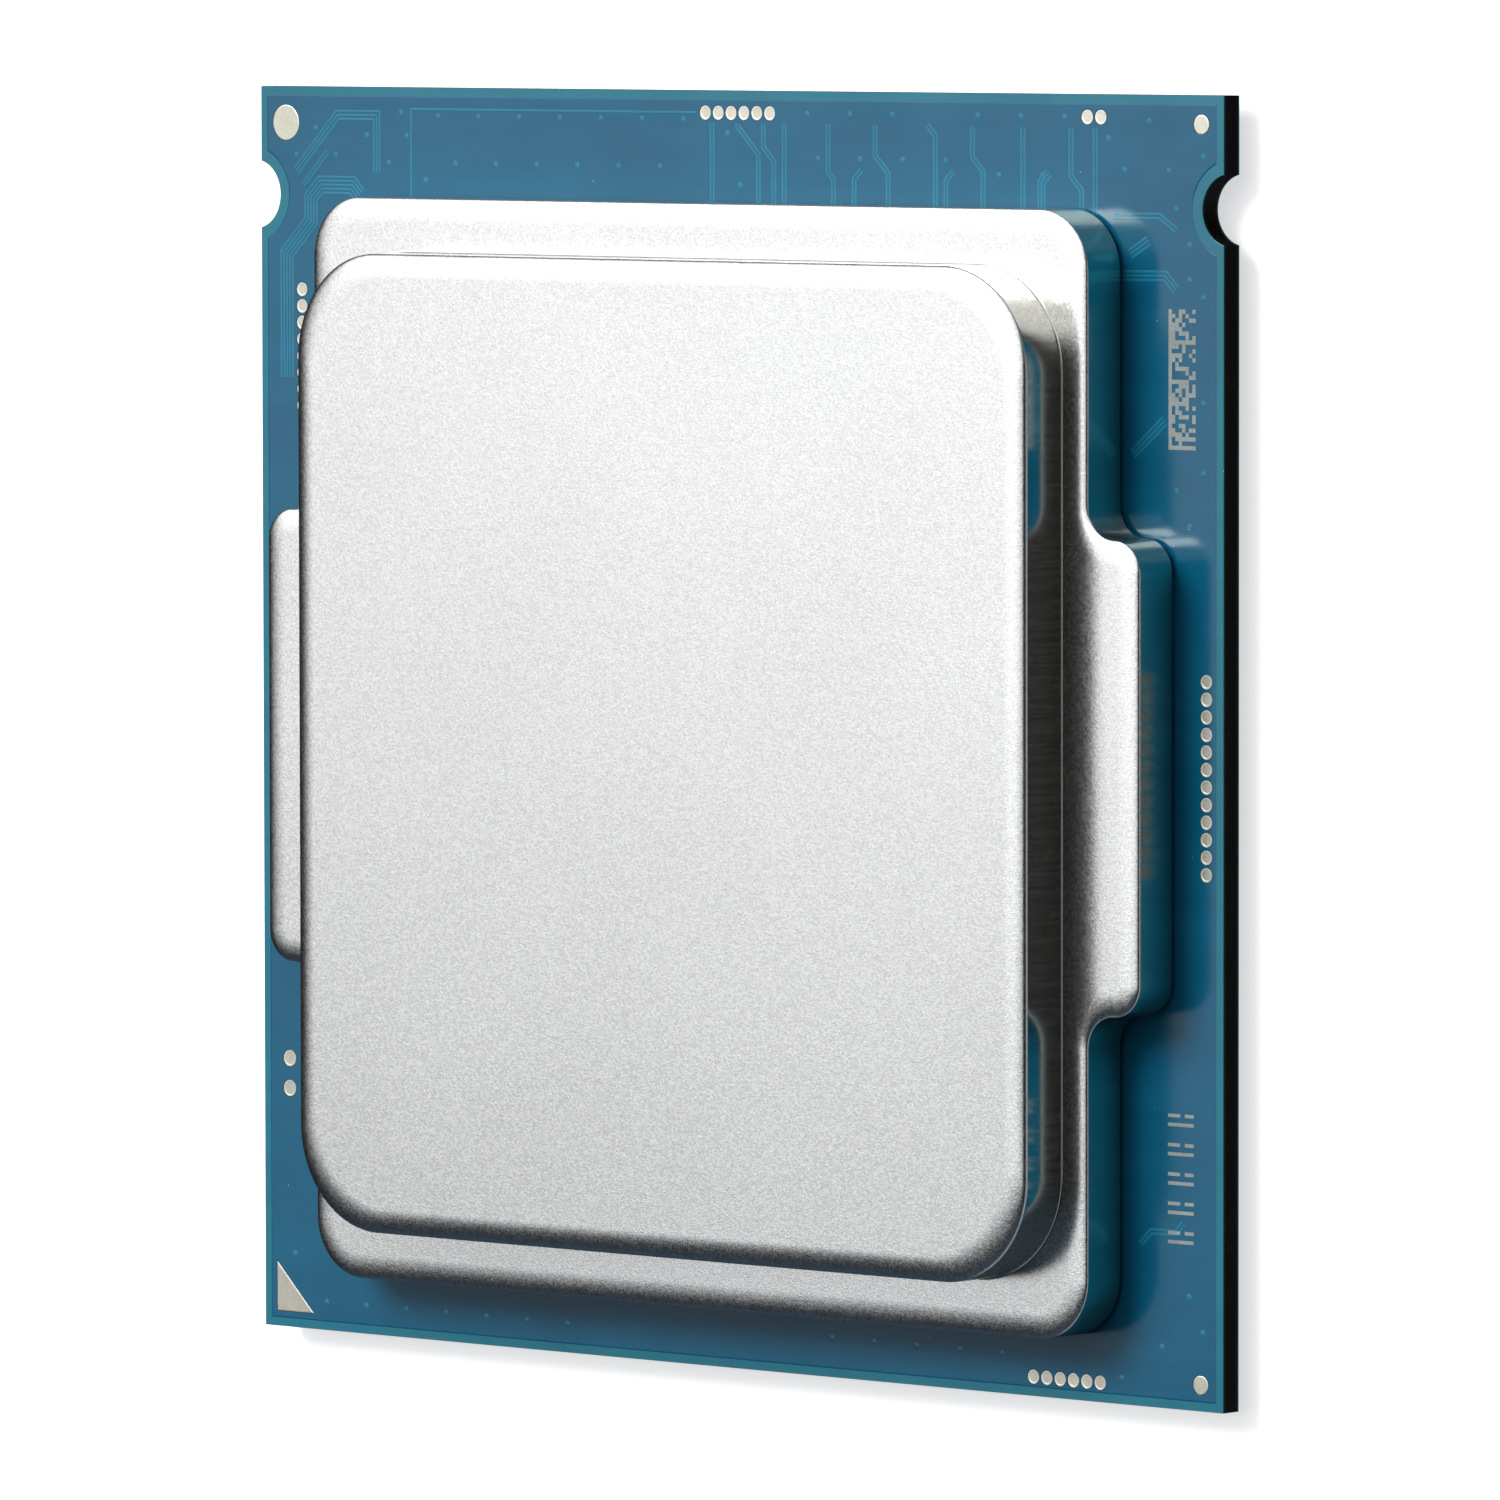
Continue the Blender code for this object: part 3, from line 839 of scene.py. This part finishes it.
def build_traces(board_top, surface):
    """Bundles of traces and the vias, as low relief in the mask."""
    bundles = [(stepped_path(*places), count) for *places, count in STEPPED_TRACES]
    bundles += FREE_TRACES
    bm = bmesh.new()
    for path, count in bundles:
        for line in range(count):
            shift = (line - (count - 1) / 2) * TRACE_SPACING
            moved = [tuple(p) for p in offset_path(path, shift)]
            add_ridge(bm, moved, board_top, TRACE_WIDTH, TRACE_HEIGHT)
    to_piece(bm, "covered_traces", [surface])
    vias = [(x + VIA_PITCH * step, y) for x, y, count in VIA_ROWS for step in range(count)]
    bm = bmesh.new()
    for centre in [*vias, *LONE_VIAS]:
        add_dome(bm, centre, VIA_RADIUS, board_top, VIA_HEIGHT)
    to_piece(bm, "covered_vias", [surface], smooth_angle=60)


# --------------------------------------------------------------- printed marks


CODE_LOW = (16.73, 8.67)
CODE_CELL = 0.125
CODE_COLUMNS = 8
CODE_ROWS = 32
CODE_SEED = 11
CODE_FILL = 0.52
CODE_SQUARE = 0.98 * CODE_CELL
SCALE_LOW = (16.72, -14.0)
SCALE_WIDTH = 0.95
SCALE_PITCH = 0.84
SCALE_STROKES = 5
STROKE = 0.10
SHORT_STROKE_RISE = 0.26
SHORT_STROKE_LEFT = 0.45
SHORT_STROKE_RIGHT = 0.62
INK_HEIGHT = 0.004


def add_block(bm, low_x, low_y, high_x, high_y, low_z, high_z):
    """A box between two corners."""
    outline = [(low_x, low_y), (high_x, low_y), (high_x, high_y), (low_x, high_y)]
    lower = add_loop(bm, outline, low_z)
    upper = add_loop(bm, outline, high_z)
    add_wall(bm, lower, upper)
    bm.faces.new(lower)
    bm.faces.new(upper)


def build_printed_marks(board_top, surface):
    """A made-up pattern of squares, and a plain scale of short strokes."""
    draw = random.Random(CODE_SEED)
    bm = bmesh.new()
    top = board_top + INK_HEIGHT
    left, bottom = CODE_LOW
    length = CODE_ROWS * CODE_CELL
    add_block(bm, left, bottom, left + CODE_CELL, bottom + length, board_top, top)
    for column in range(1, CODE_COLUMNS):
        for row in range(CODE_ROWS):
            if draw.random() < CODE_FILL:
                x = left + column * CODE_CELL
                y = bottom + row * CODE_CELL
                add_block(bm, x, y, x + CODE_SQUARE, y + CODE_SQUARE, board_top, top)
    to_piece(bm, "square_pattern", [surface])

    bm = bmesh.new()
    left, bottom = SCALE_LOW
    right = left + SCALE_WIDTH
    for stroke in range(SCALE_STROKES):
        y = bottom + stroke * SCALE_PITCH
        add_block(bm, left, y, right, y + STROKE, board_top, top)
        y += SHORT_STROKE_RISE
        add_block(bm, left, y, left + SHORT_STROKE_LEFT, y + STROKE, board_top, top)
        add_block(bm, left + SHORT_STROKE_RIGHT, y, right, y + STROKE, board_top, top)
    to_piece(bm, "stroke_scale", [surface])


# ------------------------------------------------------------------ land side


LAND_PITCH = 0.9144
LAND_GRID = 40
LAND_HOLE_COLUMNS = 16
LAND_HOLE_ROWS = 24
LAND_HALF_X = 0.29
LAND_HALF_Y = 0.36
LAND_CHAMFER = 0.14
LAND_EDGE = 0.006
LAND_TAPER = 0.93
LAND_SINK = 0.008
CORNER_LANDS = 3
NOTCH_CLEARANCE = 1.2


def land_present(column, row):
    """True where the grid has a land."""
    middle = (LAND_GRID - 1) / 2
    across = abs(column - middle)
    along = abs(row - middle)
    if across < LAND_HOLE_COLUMNS / 2 and along < LAND_HOLE_ROWS / 2:
        return False
    if across + along > LAND_GRID - 1 - CORNER_LANDS:
        return False
    from_notch = abs((row - middle) * LAND_PITCH - NOTCH_Y)
    return across <= middle - 1 or from_notch >= NOTCH_CLEARANCE


def build_lands(surface):
    """The contact lands, each a small chamfered plate."""
    low, high = box_mm("land_field")
    bm = bmesh.new()
    shape = [
        (LAND_HALF_X, LAND_HALF_Y - LAND_CHAMFER),
        (LAND_HALF_X - LAND_CHAMFER, LAND_HALF_Y),
    ]
    middle = (LAND_GRID - 1) / 2
    for column in range(LAND_GRID):
        for row in range(LAND_GRID):
            if not land_present(column, row):
                continue
            x = (column - middle) * LAND_PITCH
            y = (row - middle) * LAND_PITCH
            outline = four_quarters(shape, x, y)
            small = [(x + (px - x) * LAND_TAPER, y + (py - y) * LAND_TAPER) for px, py in outline]
            top = add_loop(bm, outline, high.z + LAND_SINK)
            side = add_loop(bm, outline, low.z + LAND_EDGE)
            face = add_loop(bm, small, low.z)
            add_wall(bm, top, side)
            add_wall(bm, side, face)
            bm.faces.new(top)
            bm.faces.new(face)
    to_piece(bm, "contact_lands", [surface], ["land_field"])


CAP_SHARE = 0.5
BODY_WIDTH_SHARE = 0.93
BODY_SINK = 0.012
CAPACITOR_BEVEL = 0.035
CAPACITOR_BEVEL_STEPS = 3


def build_capacitor(node, ceramic, terminal):
    """A chip capacitor: ceramic body between two rounded metal end caps."""
    low, high = box_mm(node)
    centre = (low + high) / 2
    half = (high - low) / 2
    bm = bmesh.new()
    cap = half.y * CAP_SHARE / 2
    blocks = (
        (half.x * BODY_WIDTH_SHARE, half.y - cap, 0.0, 0),
        (half.x, cap, half.y - cap, 1),
        (half.x, cap, cap - half.y, 1),
    )
    for half_x, half_y, shift, surface in blocks:
        before = set(bm.faces)
        sink = BODY_SINK if surface == 0 else 0.0
        made = bmesh.ops.create_cube(bm, size=2.0)["verts"]
        size = Vector((half_x, half_y, half.z - sink))
        for vertex in made:
            vertex.co = Vector(a * b for a, b in zip(vertex.co, size))
            vertex.co += centre + Vector((0, shift, 0))
        edges = {edge for vertex in made for edge in vertex.link_edges}
        bmesh.ops.bevel(
            bm,
            geom=list(edges),
            offset=CAPACITOR_BEVEL,
            segments=CAPACITOR_BEVEL_STEPS,
            profile=0.5,
            affect="EDGES",
        )
        for face in set(bm.faces) - before:
            face.material_index = surface
    to_piece(bm, node + "_chip", [ceramic, terminal], [node], 50)


# -------------------------------------------------------------- light and view


def rotation(axis, angle):
    """Turn about an axis by an angle in degrees."""
    return Matrix.Rotation(math.radians(angle), 3, axis)


BANK_LEVEL = 1.68
NEAR_GLOW_LEVEL = 0.05
FILL_LEVEL = 0.20
FRONT_LEVEL = 0.09
AMBIENT_LEVEL = 0.004
KEY_DIRECTION = (-0.33, 0.57, 0.75)
KEY_DISTANCE = 0.6
KEY_SIZE = 0.36
KEY_POWER = 3.6

# Where each part of the surround fades in or out along X, Y or Z of the direction.
# NEAR_GLOW_Y and BLUE_SIDE_Y count towards -Y.
BANK_NEAR_END_Y = (-0.185, -0.02)
BANK_LOW_END_Z = (0.48, 0.85)
BANK_LOW_END_TILT = 0.8
BANK_CAMERA_END_X = (0.06, 0.26)
BANK_CAMERA_END_TILT = -0.9
BANK_UPPER_Z = (0.3, 0.6)
BANK_UPPER_GAIN = 0.3
OVERHEAD_X = (-0.45, 0.05)
OVERHEAD_CUT = 0.42
NEAR_GLOW_Y = (0.15, 0.7)
LOW_CORNER_XY = (0.5, 0.9)
LOW_CORNER_TOP_Z = (0.3, 0.55)
FRONT_X = (0.55, 0.85)
FRONT_TOP_Z = (0.5, 0.64)
BLUE_SIDE_Y = (0.1, 0.25)
PLAIN_TINT = (0.99, 1.0, 1.01)
BLUE_TINT = (0.62, 0.95, 1.35)

FLOOR_HALF = 3000
FLOOR_CORNER = 400
FLOOR_DROP = 0.02
FLOOR_GLOW = 0.62


def add_camera():
    """A long lens that looks at the lid from its right-hand side."""
    yaw = rotation("Y", -CAMERA_YAW)
    pitch = rotation("X", CAMERA_PITCH)
    roll = rotation("Z", CAMERA_ROLL)
    view = roll @ pitch @ yaw
    data = bpy.data.cameras.new("camera")
    data.sensor_width = SENSOR_WIDTH
    data.lens = LENS
    data.clip_start = 0.01
    data.clip_end = 20.0
    camera = bpy.data.objects.new("camera", data)
    place = view.transposed().to_4x4()
    place.translation = Vector(CAMERA_PLACE) * MM
    camera.matrix_world = place
    bpy.context.scene.collection.objects.link(camera)
    bpy.context.scene.camera = camera


def add_floor():
    """A plain pale floor under the package."""
    f = Finish("floor_paint")
    tone = f.noise(40.0, 2.0)
    f.set(
        Base_Color=f.mix(tone, (0.80, 0.80, 0.80), (0.84, 0.84, 0.84)),
        Roughness=0.9,
        Emission_Color=(1.0, 1.0, 1.0),
        Emission_Strength=FLOOR_GLOW,
    )
    f.shader.inputs["Specular IOR Level"].default_value = 0.0
    bm = bmesh.new()
    outline = rounded_rectangle(FLOOR_HALF, FLOOR_HALF, FLOOR_CORNER)
    ring = add_loop(bm, outline, -FLOOR_DROP)
    add_flat(bm, [ring])
    bm.transform(Matrix.Scale(MM, 4))
    mesh = bpy.data.meshes.new("floor")
    bm.to_mesh(mesh)
    bm.free()
    mesh.materials.append(f.material)
    floor = bpy.data.objects.new("floor", mesh)
    bpy.context.scene.collection.objects.link(floor)
    floor.visible_glossy = False
    floor.visible_diffuse = False


def bank_share(sky, x, y, z):
    """Brightness of the bright bank in a direction, from 0 to 1."""
    far_side = sky.math("MAXIMUM", y, 0.0)
    near_end = sky.band(y, *BANK_NEAR_END_Y)
    height = sky.math("MULTIPLY_ADD", far_side, BANK_LOW_END_TILT, z)
    side = sky.math("MULTIPLY_ADD", far_side, BANK_CAMERA_END_TILT, x)
    share = sky.math("MULTIPLY", near_end, sky.band(height, *BANK_LOW_END_Z))
    share = sky.math("MULTIPLY", share, outside(sky, side, BANK_CAMERA_END_X))
    upper = sky.band(z, *BANK_UPPER_Z)
    gain = sky.math("MULTIPLY_ADD", upper, BANK_UPPER_GAIN, 1.0 - BANK_UPPER_GAIN)
    share = sky.math("MULTIPLY", share, gain)
    overhead = sky.band(sky.math("ADD", x, far_side), *OVERHEAD_X)
    return sky.math("MULTIPLY", share, sky.math("MULTIPLY_ADD", overhead, -OVERHEAD_CUT, 1.0))


def outside(sky, value, span):
    """1 below the span, 0 above it and a smooth fade between."""
    return sky.math("SUBTRACT", 1.0, sky.band(value, *span))


def add_sky():
    """Studio surround: a broad bright bank on one side and dark on the camera's side."""
    world = bpy.data.worlds.new("studio")
    bpy.context.scene.world = world
    world.use_nodes = True
    sky = Nodes(world.node_tree)
    place = sky.node("ShaderNodeTexCoord")
    x, y, z = sky.node("ShaderNodeSeparateXYZ", Vector=place.outputs["Generated"]).outputs
    near = sky.math("MULTIPLY", y, -1.0)

    corner = sky.band(sky.math("SUBTRACT", x, y), *LOW_CORNER_XY)
    low_corner = sky.math("MULTIPLY", corner, outside(sky, z, LOW_CORNER_TOP_Z))
    front = sky.math("MULTIPLY", sky.band(x, *FRONT_X), outside(sky, z, FRONT_TOP_Z))
    level = sky.math("MULTIPLY", bank_share(sky, x, y, z), BANK_LEVEL)
    level = sky.math("MULTIPLY_ADD", sky.band(near, *NEAR_GLOW_Y), NEAR_GLOW_LEVEL, level)
    level = sky.math("MULTIPLY_ADD", low_corner, FILL_LEVEL, level)
    level = sky.math("MULTIPLY_ADD", front, FRONT_LEVEL, level)
    level = sky.math("ADD", level, AMBIENT_LEVEL)

    unfilled = sky.math("SUBTRACT", 1.0, low_corner)
    blue = sky.math("MULTIPLY", sky.band(near, *BLUE_SIDE_Y), unfilled)
    background = sky.tree.nodes["Background"]
    sky.plug(background.inputs["Strength"], level)
    sky.plug(background.inputs["Color"], sky.mix(blue, PLAIN_TINT, BLUE_TINT))


def add_key():
    """A strong soft lamp high on the far side."""
    data = bpy.data.lights.new("key", "AREA")
    data.shape = "DISK"
    data.size = KEY_SIZE
    data.energy = KEY_POWER
    lamp = bpy.data.objects.new("key", data)
    direction = Vector(KEY_DIRECTION).normalized()
    lamp.location = direction * KEY_DISTANCE
    lamp.rotation_mode = "QUATERNION"
    lamp.rotation_quaternion = direction.to_track_quat("Z", "Y")
    bpy.context.scene.collection.objects.link(lamp)


def set_exposure():
    """Plain display colours, with no film curve."""
    settings = bpy.context.scene.view_settings
    settings.view_transform = "Standard"
    settings.look = "None"


# ---------------------------------------------------------------------- build


def pad_rows():
    """Node, pad centres and pad radius of each row of test pads."""
    return [
        (node, pad_centres(node, radius, pitch), radius)
        for node, (radius, pitch) in PAD_ROWS.items()
    ]


def mask_openings(rows):
    """Outlines of the holes in the upper mask, a little wider than the marks."""
    outlines = []
    for _, centres, radius in rows:
        outlines += [circle(centre, radius + OPENING_CLEARANCE, PAD_SIDES) for centre in centres]
    for node in FIDUCIALS:
        centre, radius = fiducial_circle(node)
        outlines.append(circle(centre, radius + OPENING_CLEARANCE, FIDUCIAL_SIDES))
    outlines.append(triangle_mark(OPENING_CLEARANCE))
    return outlines


def build_upper_side():
    """The lid, the upper mask and all that lies on it or in its openings."""
    board_top = box_mm("top_solder_mask")[1].z
    over_copper = mask_finish(
        "mask_over_copper", (0.0020, 0.086, 0.164), (0.0039, 0.101, 0.187), 0.16
    )
    over_resin = mask_finish(
        "mask_over_resin", (0.0075, 0.137, 0.200), (0.0125, 0.162, 0.225), 0.2
    )
    over_trace = mask_finish(
        "mask_over_trace", (0.0075, 0.144, 0.240), (0.015, 0.168, 0.27), 0.16
    )
    middle = plated_gold("pad_middle", (0.62, 0.60, 0.50), (0.74, 0.72, 0.62), 0.35)
    rim = plated_gold("pad_rim", (0.78, 0.76, 0.68), (0.86, 0.84, 0.78), 0.4)
    ink = speckled("pale_ink", (0.20, 0.24, 0.235), (0.30, 0.33, 0.315), 0.08, 0.6)

    build_lid(board_top, blasted_nickel(), drawn_nickel(), sheared_nickel_painted_teal())
    rows = pad_rows()
    build_top_mask(mask_openings(rows), over_copper, over_resin)
    build_pads(rows, middle, rim)
    build_fiducials(middle, rim)
    build_triangle(middle, rim)
    build_traces(board_top, over_trace)
    build_printed_marks(board_top, ink)


def build_land_side():
    """The contact lands and the capacitors."""
    gold = plated_gold("land_gold", (0.80, 0.58, 0.26), (0.90, 0.70, 0.36), 0.28)
    build_lands(gold)
    ceramic = speckled("ceramic", (0.26, 0.17, 0.10), (0.36, 0.25, 0.16), 0.04, 0.5)
    tin = speckled("tin_cap", (0.60, 0.60, 0.60), (0.78, 0.77, 0.75), 0.05, 0.35, metallic=1.0)
    for node in sorted(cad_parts):
        if node.startswith("capacitor_"):
            build_capacitor(node, ceramic, tin)


def finish_kept_nodes():
    """Finishes for the CAD pieces that stay as they are."""
    build_up = layered_resin(
        "build_up_edge", (0.008, 0.008, 0.008), (0.02, 0.02, 0.02), (0.05, 0.03, 0.02)
    )
    foil = speckled(
        "copper_foil", (0.62, 0.30, 0.16), (0.80, 0.42, 0.26), 0.06, 0.4, metallic=1.0
    )
    finishes = {
        "bottom_solder_mask": mask_finish(
            "lower_mask", (0.010, 0.16, 0.27), (0.02, 0.21, 0.33), 0.25
        ),
        "substrate_core": layered_resin(
            "core_edge", (0.002, 0.0015, 0.001), (0.008, 0.005, 0.002), (0.12, 0.05, 0.012)
        ),
        "top_build_up": build_up,
        "bottom_build_up": build_up,
        "top_copper_layer": foil,
        "bottom_copper_layer": foil,
        "silicon_die": speckled(
            "die_back", (0.10, 0.11, 0.13), (0.16, 0.17, 0.20), 0.05, 0.2, metallic=0.7
        ),
        "die_bump_array": speckled(
            "bumps", (0.45, 0.45, 0.47), (0.65, 0.65, 0.67), 0.1, 0.4, metallic=1.0
        ),
        "die_underfill": speckled(
            "underfill", (0.05, 0.04, 0.03), (0.10, 0.08, 0.06), 0.06, 0.4
        ),
        "thermal_interface_layer": speckled(
            "interface_metal", (0.45, 0.46, 0.48), (0.62, 0.63, 0.65), 0.12, 0.55, metallic=0.6
        ),
        "lid_sealant": speckled(
            "sealant", (0.008, 0.008, 0.009), (0.02, 0.02, 0.022), 0.12, 0.5
        ),
    }
    for node, surface in finishes.items():
        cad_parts[node].material_slots[0].material = surface


def main():
    """Build the detailed pieces, finish the others and set up the studio."""
    build_upper_side()
    build_land_side()
    finish_kept_nodes()
    add_floor()
    add_sky()
    add_key()
    add_camera()
    set_exposure()


main()
